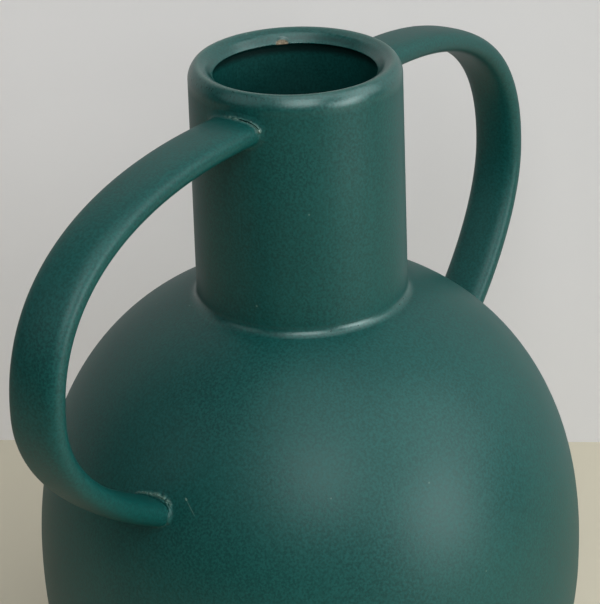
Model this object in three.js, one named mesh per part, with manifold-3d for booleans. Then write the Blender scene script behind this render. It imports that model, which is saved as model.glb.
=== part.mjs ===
// An amphora vase of glazed stoneware: a hollow globe on a foot ring, a neck luted to the
// globe's shoulder, and two strap handles luted from the neck to the shoulder. Each joint
// holds a layer of slip, the liquid clay that bonds the pieces, with its squeezed-out fillet.
// Millimetres and degrees, +Z up, the origin on the table under the middle of the foot ring,
// the handles in the XZ plane with the left one towards -X.
import * as THREE from "three";
import { mergeVertices } from "three/addons/utils/BufferGeometryUtils.js";
import Module from "manifold-3d";

const wasm = await Module();
wasm.setup();

// Globe
const BODY_RADIUS = 95; // at the belly line, the widest
const SHOULDER_RISE = 100.6; // belly line up to the neck's seat
const BELLY_DROP = 75; // belly line down to the flat underside
const FULLNESS = 2.29; // exponent of the globe's curve: 2 is an ellipse, more is fuller
const BODY_WALL = 7;
const FLOOR_THICKNESS = 9;
const UNDERSIDE_MARGIN = 2; // flat underside beyond the foot ring

// Foot ring
const FOOT_RADIUS = 50;
const FOOT_WIDTH = 9;
const FOOT_HEIGHT = 4;
const FOOT_CHAMFER = 1.2;

// Neck
const NECK_BASE_RADIUS = 35.4;
const NECK_LIP_RADIUS = 34.4;
const NECK_HEIGHT = 79.8;
const NECK_WALL = 6;
const LIP_CREST_INSET = 2.7; // crest inwards of the neck's outside
const LIP_BEVEL_DROP = 2.6; // crest down to the edge where its outer bevel meets the outside
const LIP_ROUND = 2.8; // reach of that edge's rounding down the outside
const LIP_BAND = 3; // width of the gently sloped band inside the crest
const LIP_BAND_DROP = 1.6;
const LIP_DEPTH = 4.4; // crest down to the throat, the narrowest place of the mouth
const LIP_OVERHANG = 2.2; // throat inwards of the bore
const LIP_UNDERCUT = 1; // height over which the bore widens below the throat

// Slip in the joints
const SLIP_THICKNESS = 0.8;
const NECK_FILLET = 2.4;
const HANDLE_FILLET = 2;
const CONTACT_GAP = 0.3; // between two pieces that meet on a curved face

// Handles, both with this strap
const STRAP_WIDTH = 18.6;
const STRAP_THICKNESS = 8.6;
const STRAP_SQUARENESS = 2.6; // exponent of the strap's oval: 2 is an ellipse
const NECK_PULL = 53.8; // how far the strap keeps the direction in which it leaves the neck

// Left handle, set by hand: drops are below the rim for the loop, below the seat for the landing
const LEFT_AZIMUTH = 180;
const LEFT_NECK_DROP = 13.6;
const LEFT_RISE = 2.5; // slope of the strap as it leaves the neck
const LEFT_REACH = 132.2; // from the vase's axis to the strap's middle where it is furthest out
const LEFT_REACH_DROP = 69.1;
const LEFT_CROWN_PULL = 44.7; // how far the strap runs straight above the furthest point
const LEFT_RETURN_PULL = 26; // and below it
const LEFT_LANDING_DROP = 43.9;
const LEFT_LANDING_SLOPE = 31;
const LEFT_LANDING_PULL = 12;

// Right handle
const RIGHT_AZIMUTH = 0;
const RIGHT_NECK_DROP = 13.5;
const RIGHT_RISE = 1.4;
const RIGHT_REACH = 134.4;
const RIGHT_REACH_DROP = 74.8;
const RIGHT_CROWN_PULL = 48.8;
const RIGHT_RETURN_PULL = 28.8;
const RIGHT_LANDING_DROP = 59.9;
const RIGHT_LANDING_SLOPE = 26.3;
const RIGHT_LANDING_PULL = 15.6;

// Glaze and bare clay
const GLAZE_COLOUR = 0x26534d;
const GLAZE_ROUGHNESS = 0.42;
const CLAY_COLOUR = 0xa89a84;
const CLAY_ROUGHNESS = 0.9;

// Fineness of the facets
const TURN_STEPS = 56;
const GLOBE_STEPS = 10;
const CAVITY_STEPS = 7;
const ROUND_STEPS = 4;
const STRAP_STEPS = 32;
const STRAP_SIDES = 16;
const COLLAR_SIDES = 24;

// Levels, worked out from the sizes above
const UNDERSIDE_Z = FOOT_HEIGHT + SLIP_THICKNESS;
const BELLY_Z = UNDERSIDE_Z + BELLY_DROP;
const SEAT_Z = BELLY_Z + SHOULDER_RISE;
const NECK_Z = SEAT_Z + SLIP_THICKNESS;
const RIM_Z = NECK_Z + NECK_HEIGHT;
const BORE_RADIUS = NECK_BASE_RADIUS - NECK_WALL;
const UNDERSIDE_RADIUS = FOOT_RADIUS + UNDERSIDE_MARGIN;

// Half-heights of the globe's curve, so that it passes through the seat and the underside
const UPPER_HALF = curveHalf(SHOULDER_RISE, NECK_BASE_RADIUS);
const LOWER_HALF = curveHalf(BELLY_DROP, UNDERSIDE_RADIUS);

const HANDLES = [
  {
    name: "left_handle",
    azimuth: LEFT_AZIMUTH,
    neckDrop: LEFT_NECK_DROP,
    rise: LEFT_RISE,
    reach: LEFT_REACH,
    reachDrop: LEFT_REACH_DROP,
    crownPull: LEFT_CROWN_PULL,
    returnPull: LEFT_RETURN_PULL,
    landingDrop: LEFT_LANDING_DROP,
    landingSlope: LEFT_LANDING_SLOPE,
    landingPull: LEFT_LANDING_PULL,
  },
  {
    name: "right_handle",
    azimuth: RIGHT_AZIMUTH,
    neckDrop: RIGHT_NECK_DROP,
    rise: RIGHT_RISE,
    reach: RIGHT_REACH,
    reachDrop: RIGHT_REACH_DROP,
    crownPull: RIGHT_CROWN_PULL,
    returnPull: RIGHT_RETURN_PULL,
    landingDrop: RIGHT_LANDING_DROP,
    landingSlope: RIGHT_LANDING_SLOPE,
    landingPull: RIGHT_LANDING_PULL,
  },
];

function curveHalf(rise, endRadius) {
  return rise / Math.pow(1 - Math.pow(endRadius / BODY_RADIUS, FULLNESS), 1 / FULLNESS);
}

// Distance across a superellipse at a share, 0 to 1, of its other half-axis
function across(half, share) {
  return half * Math.pow(1 - Math.pow(Math.min(share, 1), FULLNESS), 1 / FULLNESS);
}

// Outer radius of the globe at a height, on a surface grown outwards by a margin
function globeRadius(z, margin = 0) {
  const half = (z > BELLY_Z ? UPPER_HALF : LOWER_HALF) + margin;
  return across(BODY_RADIUS + margin, Math.abs(z - BELLY_Z) / half);
}

// Outer radius of the neck's straight taper at a height
function neckRadius(z, margin = 0) {
  const share = (z - NECK_Z) / (NECK_HEIGHT - LIP_BEVEL_DROP - LIP_ROUND);
  return THREE.MathUtils.lerp(NECK_BASE_RADIUS, NECK_LIP_RADIUS, share) + margin;
}

function point(radius, z) {
  return new THREE.Vector2(radius, z);
}

// Points of the globe's curve from the belly line to a given radius, above the line or below it
function globeCurve(radius, half, endRadius, steps, up) {
  const lastAngle = Math.acos(Math.pow(endRadius / radius, FULLNESS / 2));
  const points = [];
  for (let i = 0; i <= steps; i += 1) {
    const angle = (lastAngle * i) / steps;
    const rise = half * Math.pow(Math.sin(angle), 2 / FULLNESS);
    points.push(point(radius * Math.pow(Math.cos(angle), 2 / FULLNESS), BELLY_Z + (up ? rise : -rise)));
  }
  return points;
}

// A solid of revolution about Z from an outline of radii and heights
function revolve(outline) {
  return new THREE.LatheGeometry(outline, TURN_STEPS).rotateX(Math.PI / 2);
}

function ring(outline) {
  return revolve([...outline, outline[0]]);
}

function toSolid(geometry) {
  const bare = geometry.clone();
  bare.deleteAttribute("normal");
  bare.deleteAttribute("uv");
  const merged = mergeVertices(bare);
  const index = merged.getIndex().array;
  const triVerts = [];
  for (let i = 0; i < index.length; i += 3) {
    const [a, b, c] = index.slice(i, i + 3);
    if (a !== b && b !== c && c !== a) {
      triVerts.push(a, b, c);
    }
  }
  const mesh = new wasm.Mesh({
    numProp: 3,
    vertProperties: new Float32Array(merged.getAttribute("position").array),
    triVerts: new Uint32Array(triVerts),
  });
  return new wasm.Manifold(mesh);
}

function toGeometry(solid) {
  const mesh = solid.getMesh();
  const geometry = new THREE.BufferGeometry();
  geometry.setAttribute("position", new THREE.BufferAttribute(mesh.vertProperties, 3));
  geometry.setIndex(new THREE.BufferAttribute(mesh.triVerts, 1));
  geometry.computeVertexNormals();
  return geometry;
}

// Globe: a shell of even wall with a flat floor, open at the neck's seat
function bodyGeometry() {
  const innerRadius = BODY_RADIUS - BODY_WALL;
  const innerLower = LOWER_HALF - BODY_WALL;
  const innerHigher = UPPER_HALF - BODY_WALL;
  const floorDrop = BELLY_DROP - FLOOR_THICKNESS;
  const floorRadius = across(innerRadius, floorDrop / innerLower);
  const outerLower = globeCurve(BODY_RADIUS, LOWER_HALF, UNDERSIDE_RADIUS, GLOBE_STEPS, false).reverse();
  const outerUpper = globeCurve(BODY_RADIUS, UPPER_HALF, NECK_BASE_RADIUS, GLOBE_STEPS, true);
  const innerUpper = globeCurve(innerRadius, innerHigher, BORE_RADIUS, CAVITY_STEPS, true).reverse();
  const innerFloor = globeCurve(innerRadius, innerLower, floorRadius, CAVITY_STEPS, false);
  return revolve([
    point(0, UNDERSIDE_Z),
    point(UNDERSIDE_RADIUS, UNDERSIDE_Z),
    ...outerLower.slice(1),
    ...outerUpper.slice(1, -1),
    point(NECK_BASE_RADIUS, SEAT_Z),
    point(BORE_RADIUS, SEAT_Z),
    ...innerUpper,
    ...innerFloor.slice(1),
    point(0, BELLY_Z - floorDrop),
  ]);
}

// Neck: a slightly tapered tube whose lip has a soft bevel outside its crest and two bevels
// inside it, down to a throat that overhangs the bore
function neckGeometry() {
  const lipBore = NECK_LIP_RADIUS - NECK_WALL;
  const crest = point(NECK_LIP_RADIUS - LIP_CREST_INSET, RIM_Z);
  const edge = point(NECK_LIP_RADIUS, RIM_Z - LIP_BEVEL_DROP);
  const bevel = new THREE.QuadraticBezierCurve(point(edge.x, edge.y - LIP_ROUND), edge, crest);
  const throat = point(lipBore - LIP_OVERHANG, RIM_Z - LIP_DEPTH);
  return ring([
    point(BORE_RADIUS, NECK_Z),
    point(NECK_BASE_RADIUS, NECK_Z),
    ...bevel.getPoints(ROUND_STEPS),
    point(crest.x - LIP_BAND, RIM_Z - LIP_BAND_DROP),
    throat,
    point(lipBore, throat.y - LIP_UNDERCUT),
  ]);
}

// Slip between the globe's seat and the neck, with a hollow fillet round the outside
function neckSlipGeometry() {
  const footRadius = NECK_BASE_RADIUS + NECK_FILLET;
  const half = UPPER_HALF + CONTACT_GAP;
  const footZ = BELLY_Z + across(half, footRadius / (BODY_RADIUS + CONTACT_GAP));
  const shoulder = [];
  for (let i = 0; i <= ROUND_STEPS; i += 1) {
    const z = THREE.MathUtils.lerp(SEAT_Z, footZ, i / ROUND_STEPS);
    shoulder.push(point(globeRadius(z, CONTACT_GAP), z));
  }
  const topZ = SEAT_Z + NECK_FILLET;
  const top = point(neckRadius(topZ, CONTACT_GAP), topZ);
  const corner = point(neckRadius(NECK_Z, CONTACT_GAP), SEAT_Z + CONTACT_GAP);
  const fillet = new THREE.QuadraticBezierCurve(shoulder.at(-1), corner, top);
  return ring([
    point(BORE_RADIUS, SEAT_Z),
    ...shoulder,
    ...fillet.getPoints(ROUND_STEPS).slice(1),
    point(neckRadius(NECK_Z, CONTACT_GAP), NECK_Z),
    point(BORE_RADIUS, NECK_Z),
  ]);
}

// Foot ring: a flat-topped ring with its resting edges chamfered
function footRingGeometry() {
  const innerRadius = FOOT_RADIUS - FOOT_WIDTH;
  return ring([
    point(innerRadius + FOOT_CHAMFER, 0),
    point(FOOT_RADIUS - FOOT_CHAMFER, 0),
    point(FOOT_RADIUS, FOOT_CHAMFER),
    point(FOOT_RADIUS, FOOT_HEIGHT),
    point(innerRadius, FOOT_HEIGHT),
    point(innerRadius, FOOT_CHAMFER),
  ]);
}

function footSlipGeometry() {
  const innerRadius = FOOT_RADIUS - FOOT_WIDTH;
  return ring([
    point(innerRadius, FOOT_HEIGHT),
    point(FOOT_RADIUS, FOOT_HEIGHT),
    point(FOOT_RADIUS, UNDERSIDE_Z),
    point(innerRadius, UNDERSIDE_Z),
  ]);
}

// The vessel filled solid and grown outwards by a margin, to trim what is luted to it
function vesselHull(margin) {
  const radius = BODY_RADIUS + margin;
  const lower = globeCurve(radius, LOWER_HALF + margin, UNDERSIDE_RADIUS, GLOBE_STEPS, false).reverse();
  const upper = globeCurve(radius, UPPER_HALF + margin, BORE_RADIUS, GLOBE_STEPS, true);
  const globe = revolve([point(0, lower[0].y), ...lower, ...upper.slice(1), point(0, upper.at(-1).y)]);
  const neck = revolve([
    point(0, BELLY_Z),
    point(neckRadius(BELLY_Z, margin), BELLY_Z),
    point(neckRadius(RIM_Z, margin), RIM_Z),
    point(0, RIM_Z),
  ]);
  return toSolid(globe).add(toSolid(neck));
}

function inPlane(radius, z) {
  return new THREE.Vector3(radius, 0, z);
}

function heading(slope) {
  const angle = THREE.MathUtils.degToRad(slope);
  return inPlane(Math.cos(angle), Math.sin(angle));
}

function along(start, direction, distance) {
  return start.clone().addScaledVector(direction, distance);
}

// Where a handle's middle line meets the neck and the globe, with the strap's way out of each
function handleEnds(handle) {
  const neckZ = RIM_Z - handle.neckDrop;
  const landingZ = SEAT_Z - handle.landingDrop;
  return {
    neck: { foot: inPlane(neckRadius(neckZ), neckZ), out: heading(handle.rise), wall: neckRadius },
    landing: {
      foot: inPlane(globeRadius(landingZ), landingZ),
      out: heading(handle.landingSlope),
      wall: globeRadius,
    },
  };
}

// Middle line of a handle: two smooth curves that meet upright at its furthest point,
// run on into the walls so that the strap can be trimmed to them
function handlePath(handle) {
  const { neck, landing } = handleEnds(handle);
  const root = STRAP_THICKNESS;
  const up = inPlane(0, 1);
  const furthest = inPlane(handle.reach, RIM_Z - handle.reachDrop);
  const neckGuide = along(neck.foot, neck.out, NECK_PULL);
  const crownGuide = along(furthest, up, handle.crownPull);
  const returnGuide = along(furthest, up, -handle.returnPull);
  const landingGuide = along(landing.foot, landing.out, handle.landingPull);
  const path = new THREE.CurvePath();
  path.add(new THREE.LineCurve3(along(neck.foot, neck.out, -root), neck.foot));
  path.add(new THREE.CubicBezierCurve3(neck.foot, neckGuide, crownGuide, furthest));
  path.add(new THREE.CubicBezierCurve3(furthest, returnGuide, landingGuide, landing.foot));
  path.add(new THREE.LineCurve3(landing.foot, along(landing.foot, landing.out, -root)));
  return path;
}

// A point of the strap's oval section, and the section's outward direction there
function sectionPoint(angle, margin) {
  const power = 2 / STRAP_SQUARENESS;
  const x = Math.sign(Math.cos(angle)) * Math.pow(Math.abs(Math.cos(angle)), power);
  const y = Math.sign(Math.sin(angle)) * Math.pow(Math.abs(Math.sin(angle)), power);
  const halfWidth = STRAP_WIDTH / 2 + margin;
  const halfThickness = STRAP_THICKNESS / 2 + margin;
  const steep = STRAP_SQUARENESS - 1;
  const normal = point(
    (Math.sign(x) * Math.pow(Math.abs(x), steep)) / halfWidth,
    (Math.sign(y) * Math.pow(Math.abs(y), steep)) / halfThickness,
  );
  return { place: point(x * halfWidth, y * halfThickness), normal: normal.normalize() };
}

// A handle's strap, grown by a margin and trimmed at a clearance from the walls
function strapSolid(handle, margin, clearance) {
  const outline = [];
  for (let i = 0; i < STRAP_SIDES; i += 1) {
    outline.push(sectionPoint((2 * Math.PI * i) / STRAP_SIDES, margin).place);
  }
  const strap = new THREE.ExtrudeGeometry(new THREE.Shape(outline), {
    steps: STRAP_STEPS,
    bevelEnabled: false,
    extrudePath: handlePath(handle),
  });
  return toSolid(strap).subtract(vesselHull(clearance));
}

// Where a line that leaves the vessel crosses its wall
function crossWall(start, direction, wall) {
  let inside = -2 * STRAP_THICKNESS;
  let outside = 2 * STRAP_THICKNESS;
  for (let i = 0; i < 40; i += 1) {
    const middle = (inside + outside) / 2;
    const place = along(start, direction, middle);
    if (Math.hypot(place.x, place.y) < wall(place.z)) {
      inside = middle;
    } else {
      outside = middle;
    }
  }
  return along(start, direction, outside);
}

function wallNormal(place, wall) {
  const step = 0.01;
  const slope = (wall(place.z + step) - wall(place.z - step)) / (2 * step);
  const radius = Math.hypot(place.x, place.y);
  return new THREE.Vector3(place.x / radius, place.y / radius, -slope).normalize();
}

// A closed skin over loops of equally many points, with a fan over each end
function loft(loops) {
  const sides = loops[0].length;
  const positions = loops.flat().flatMap((place) => place.toArray());
  const index = [];
  for (let row = 0; row + 1 < loops.length; row += 1) {
    for (let i = 0; i < sides; i += 1) {
      const a = row * sides + i;
      const b = row * sides + ((i + 1) % sides);
      index.push(a, a + sides, b, b, a + sides, b + sides);
    }
  }
  for (const [row, first] of [[0, true], [loops.length - 1, false]]) {
    const middle = new THREE.Vector3();
    loops[row].forEach((place) => middle.addScaledVector(place, 1 / sides));
    const hub = positions.length / 3;
    positions.push(...middle.toArray());
    for (let i = 0; i < sides; i += 1) {
      const a = row * sides + i;
      const b = row * sides + ((i + 1) % sides);
      index.push(...(first ? [hub, a, b] : [hub, b, a]));
    }
  }
  const geometry = new THREE.BufferGeometry();
  geometry.setAttribute("position", new THREE.Float32BufferAttribute(positions, 3));
  geometry.setIndex(index);
  return geometry;
}

// Slip at one end of a handle: a pad between strap and wall, and a hollow fillet round the strap
function handleSlipGeometry(handle, end) {
  const side = new THREE.Vector3(0, 1, 0);
  const thick = new THREE.Vector3().crossVectors(end.out, side);
  const loops = Array.from({ length: ROUND_STEPS + 3 }, () => []);
  for (let i = 0; i < COLLAR_SIDES; i += 1) {
    const { place, normal } = sectionPoint((2 * Math.PI * i) / COLLAR_SIDES, 0);
    const start = along(along(end.foot, side, place.x), thick, place.y);
    const outward = along(side.clone().multiplyScalar(normal.x), thick, normal.y);
    const corner = crossWall(start, end.out, end.wall);
    const wallOut = wallNormal(corner, end.wall);
    const spread = along(outward, wallOut, -outward.dot(wallOut)).normalize();
    const onStrap = along(corner, end.out, HANDLE_FILLET);
    const onWall = along(corner, spread, HANDLE_FILLET);
    const fillet = new THREE.QuadraticBezierCurve3(onStrap, corner, onWall).getPoints(ROUND_STEPS);
    const inStrap = along(onStrap, outward, -HANDLE_FILLET / 2);
    const inWall = along(onWall, wallOut, -HANDLE_FILLET);
    [inStrap, ...fillet, inWall].forEach((spot, row) => loops[row].push(spot));
  }
  const padTop = CONTACT_GAP + SLIP_THICKNESS;
  const slip = toSolid(loft(loops))
    .subtract(vesselHull(CONTACT_GAP))
    .subtract(strapSolid(handle, CONTACT_GAP, padTop));
  return toGeometry(slip);
}

function glaze() {
  return new THREE.MeshStandardMaterial({ color: GLAZE_COLOUR, roughness: GLAZE_ROUGHNESS, metalness: 0 });
}

function clay() {
  return new THREE.MeshStandardMaterial({ color: CLAY_COLOUR, roughness: CLAY_ROUGHNESS, metalness: 0 });
}

function piece(name, geometry, material) {
  const mesh = new THREE.Mesh(geometry, material);
  mesh.name = name;
  return mesh;
}

function handleGroup(handle) {
  const ends = handleEnds(handle);
  const strapClearance = CONTACT_GAP + SLIP_THICKNESS + CONTACT_GAP;
  const group = new THREE.Group();
  group.rotation.z = THREE.MathUtils.degToRad(handle.azimuth);
  group.add(piece(handle.name, toGeometry(strapSolid(handle, 0, strapClearance)), glaze()));
  group.add(piece(`${handle.name}_neck_slip`, handleSlipGeometry(handle, ends.neck), glaze()));
  group.add(piece(`${handle.name}_shoulder_slip`, handleSlipGeometry(handle, ends.landing), glaze()));
  return group;
}

const vase = new THREE.Group();
vase.add(piece("body", bodyGeometry(), glaze()));
vase.add(piece("foot_ring", footRingGeometry(), clay()));
vase.add(piece("foot_slip", footSlipGeometry(), clay()));
vase.add(piece("neck", neckGeometry(), glaze()));
vase.add(piece("neck_slip", neckSlipGeometry(), glaze()));
for (const handle of HANDLES) {
  vase.add(handleGroup(handle));
}

export default vase;
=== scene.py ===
"""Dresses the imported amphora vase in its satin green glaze.

The globe, neck and foot are turned about the axis, the strap handles are pulled along their
middle lines, and the joints are luted with slip. Metres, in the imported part's own frame.
"""

import math
from types import SimpleNamespace

import bmesh
import bpy
from bpy.props import FloatProperty, FloatVectorProperty, IntProperty, PointerProperty
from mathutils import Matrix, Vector, noise


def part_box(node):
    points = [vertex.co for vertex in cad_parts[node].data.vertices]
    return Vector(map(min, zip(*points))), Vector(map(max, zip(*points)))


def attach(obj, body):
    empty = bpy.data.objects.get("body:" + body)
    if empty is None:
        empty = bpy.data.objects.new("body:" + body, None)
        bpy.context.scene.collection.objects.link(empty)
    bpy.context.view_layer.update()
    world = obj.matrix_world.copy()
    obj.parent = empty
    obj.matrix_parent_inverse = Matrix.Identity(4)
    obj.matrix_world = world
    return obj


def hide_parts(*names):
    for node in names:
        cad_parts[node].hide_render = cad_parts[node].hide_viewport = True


bl_info = {
    "name": "Amphora vase",
    "version": (1, 0, 0),
    "blender": (4, 5, 0),
    "location": "3D View > Sidebar > Vase",
    "description": "Turns, pulls, lutes and glazes an amphora vase, and sets its stage",
    "category": "Object",
}

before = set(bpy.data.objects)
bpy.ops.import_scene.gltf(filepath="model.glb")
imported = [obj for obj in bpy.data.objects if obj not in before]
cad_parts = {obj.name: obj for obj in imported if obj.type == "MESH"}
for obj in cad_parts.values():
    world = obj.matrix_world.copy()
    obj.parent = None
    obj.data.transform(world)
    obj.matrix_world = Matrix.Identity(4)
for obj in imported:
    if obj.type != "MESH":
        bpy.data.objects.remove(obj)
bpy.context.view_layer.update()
BODY_LOW, BODY_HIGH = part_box("body")
NECK_LOW, NECK_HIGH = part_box("neck")
FOOT_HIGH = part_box("foot_ring")[1]

GREEN_SLOT = "green_glaze"
CLAY_SLOT = "bare_clay"
SIDES = (("left", -1.0), ("right", 1.0))
UP = Vector((0.0, 0.0, 1.0))
ACROSS = Vector((0.0, 1.0, 0.0))
ORIGIN = (0.0, 0.0, 0.0)
# Mark on a seam's points: thin glaze, painted shade in a crack, and a painted highlight on a drop
THIN_GLAZE_SHADE_AND_HIGHLIGHT = "thin_glaze_shade_and_highlight"

# How fine the meshes are
OUTSIDE_STEPS = (36, 44)
INSIDE_STEPS = (20, 24)
LIP_STEPS = 16
CORNER_STEPS = 6
FILLET_STEPS = 16
BEAD_STEPS = 8
STRAP_OVAL_STEPS = 14
STRAP_LINE_STEPS = 56
SEAM_STEPS = 260
SEAM_ROWS = 20
START_SIZE = 0.01
WELD = 1e-6
SHARP_FROM = math.radians(35.0)
SMOOTH_TO = math.radians(40.0)

# Roundings and small reaches of the turned pieces, in metres
GLOBE_EDGE_ROUND = 0.0009
FOOT_EDGE_ROUND = 0.0005
CREST_ROUND = 0.0014
CREASE_ROUND = 0.0006
THROAT_ROUND = 0.0004
BORE_ROUND = 0.0008
RIM_DIP_REACH = 0.03
FILLET_SINK = 0.00004
SLIP_BULGE = 0.0003

# The luted seams. Pairs are where a change starts and ends, or a middle and a half-width
WALL_SEARCH = 0.02
WALL_HALVINGS = 40
UPPER_SIDE = (0.1, 0.6)
UNDER_CUT = 0.7
SWELLING = (0.2, 0.25)
FILLET_WAVE = 0.12
FILLET_WAVES_IN_METRE = 150.0
CRUMBS_IN_METRE = 900.0
CRUMB_SHAPE = (0.8, 2.1, 3)
RIDGE_FADE_IN = 0.2
RIDGE_FADE_OUT = 0.06
RIDGE_LIFT = 1.4
CRACK_FADE_IN = 0.1
CRACK_HALF_WIDTH = 0.06
CRACK_DEPTH = 1.6
DROP_ROUND = (0.046, 0.016)
DROP_ALONG = (0.5, 0.3)
# Mark that paints a highlight on the drop of glaze
DROP_HIGHLIGHT_MARK = 2.0
SEAM_TUCK = 0.0012
STRAP_SINK = 0.00012
WALL_SINK = 0.0002
EDGE_SINK = 0.00003

# Marks and finish of the glaze
PINHOLE_SCALE = 60.0
SCRATCH_PLACE = (-0.08135, -0.01206, 0.14045)
SCRATCH_TURN = (0.0, math.radians(41.4), math.radians(-110.3))
SCRATCH_SIZE = (0.0033, 0.0002, 0.0002)
SCRATCH_SHARE = 0.35
NICK_PLACE = (-0.08052, -0.00975, 0.1426)
NICK_SIZE = (0.0006, 0.00035, 0.00035)
CHIP_SHARE = 0.8
# Share of the painted highlight along the lip's crest
CREST_HIGHLIGHT_SHARE = 0.17
SATIN_WAVE = 0.03
EDGE_GLOSS = 0.2
GRIT_SCALE = 700.0
MATT = 0.9

# Shader nodes: room in their grid, and a Mix node's colour sockets
NODES_IN_ROW = 10
NODE_ROOM = 300
MIX_INPUTS = (0, 6, 7)
MIX_RESULT = 2

# Stage. A lamp has its name, degrees right of the camera, degrees up, size and power
FLOOR_SIZE = 12.0
WALL_SIZE = 4.0
WALL_FADE = 0.13
LAMP_AIM = Vector((0.0, 0.0, 0.13))
LAMP_DISTANCE = 1.1
LAMP_SPREAD = math.radians(120.0)
LAMPS = (
    ("window_right", 54.0, 11.0, 0.55, 2.5),
    ("soft_front", 6.0, 38.0, 0.58, 1.95),
    ("soft_right", 80.0, 36.0, 0.9, 2.7),
    ("soft_overhead", 16.0, 73.0, 0.85, 1.6),
    ("soft_left", -60.0, 36.0, 0.9, 0.59),
)
SENSOR_WIDTH = 36.0
NEAREST_SEEN = 0.01


def number(name, about, *values, **more):
    """A property that holds one number, or several side by side."""
    if len(values) == 1:
        return FloatProperty(name=name, description=about, default=values[0], **more)
    return FloatVectorProperty(
        name=name, description=about, default=values, size=len(values), **more
    )


def metres(name, about, *values, **more):
    """A property that holds one length, or several."""
    return number(name, about, *values, unit="LENGTH", **more)


def degrees(name, about, *values):
    """A property that holds one angle, or several. They are given in degrees."""
    subtype = "ANGLE" if len(values) == 1 else "EULER"
    return number(name, about, *(math.radians(value) for value in values), subtype=subtype)


def tint(name, about, *values):
    """A property that holds a solid colour."""
    return number(name, about, *values, 1.0, min=0.0, max=1.0, subtype="COLOR")


def factor(name, about, value):
    """A property that holds a share between 0 and 1."""
    return number(name, about, value, min=0.0, max=1.0, subtype="FACTOR")


class VaseSizes(bpy.types.PropertyGroup):
    """Sizes of the turned vessel."""

    globe_radius: metres("Globe radius", "Radius of the globe at its belly line", BODY_HIGH.x)
    belly_height: metres("Belly height", "Height of the widest line above the table", 0.0798)
    fullness: number("Fullness", "Exponent of the globe's curve: 2 is an ellipse, more is fuller", 2.29)
    globe_wall: metres("Globe wall", "Thickness of the globe's wall", 0.007)
    floor_thickness: metres("Floor thickness", "Thickness of the globe's floor", 0.009)
    underside_height: metres("Underside height", "Height of the globe's flat underside", BODY_LOW.z)
    underside_radius: metres(
        "Underside radius", "Radius of the globe's flat underside", FOOT_HIGH.x + 0.002
    )
    seat_height: metres("Seat height", "Height of the neck's seat on the globe", BODY_HIGH.z)
    neck_base_radius: metres("Neck base radius", "Outer radius of the neck at its base", NECK_HIGH.x)
    neck_lip_radius: metres("Neck lip radius", "Outer radius of the neck under its lip", 0.0344)
    neck_foot_height: metres("Neck foot height", "Height of the neck's lower end", NECK_LOW.z)
    rim_height: metres("Rim height", "Height of the lip's crest", NECK_HIGH.z)
    neck_wall: metres("Neck wall", "Thickness of the neck's wall", 0.006)
    lip_crest_inset: metres("Lip crest inset", "Neck's outside in to the lip's crest", 0.0027)
    lip_bevel_drop: metres(
        "Lip bevel drop", "Crest down to the edge where its outer bevel meets the outside", 0.0026
    )
    lip_round: metres("Lip round", "Reach of that edge's rounding down the outside", 0.0028)
    lip_band: metres("Lip band", "Width of the gently sloped band inside the crest", 0.003)
    lip_band_drop: metres("Lip band drop", "Fall of that band", 0.0016)
    lip_depth: metres("Lip depth", "Crest down to the throat, the narrowest place of the mouth", 0.0044)
    lip_overhang: metres("Lip overhang", "Bore's wall in to the throat", 0.0022)
    lip_undercut: metres("Lip undercut", "Height over which the bore widens below the throat", 0.001)
    rim_dip: degrees("Rim dip", "Lean of the hand-finished rim about X and Y", -0.69, 0.98)
    neck_fillet: metres(
        "Neck fillet", "Reach of the slip fillet up the neck and out over the shoulder", 0.0024
    )
    foot_radius: metres("Foot radius", "Outer radius of the foot ring", FOOT_HIGH.x)
    foot_width: metres("Foot width", "Width of the foot ring", 0.009)
    foot_height: metres("Foot height", "Height of the foot ring", FOOT_HIGH.z)
    foot_round: metres("Foot round", "Rounding of the foot ring's edges", 0.0012)
    chip_place: metres(
        "Chip place", "Middle of the chip inside the lip", 0.0192, 0.0184, 0.2573, subtype="TRANSLATION"
    )
    chip_size: metres(
        "Chip size", "Half the chip across the lip, along it and in height", 0.0017, 0.0023, 0.0017
    )
    chip_depth: metres("Chip depth", "How deep the chip is", 0.0005)
    turn_steps: IntProperty(
        name="Turn steps", description="Facets round the axis of a turned piece", default=180, min=24
    )


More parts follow.
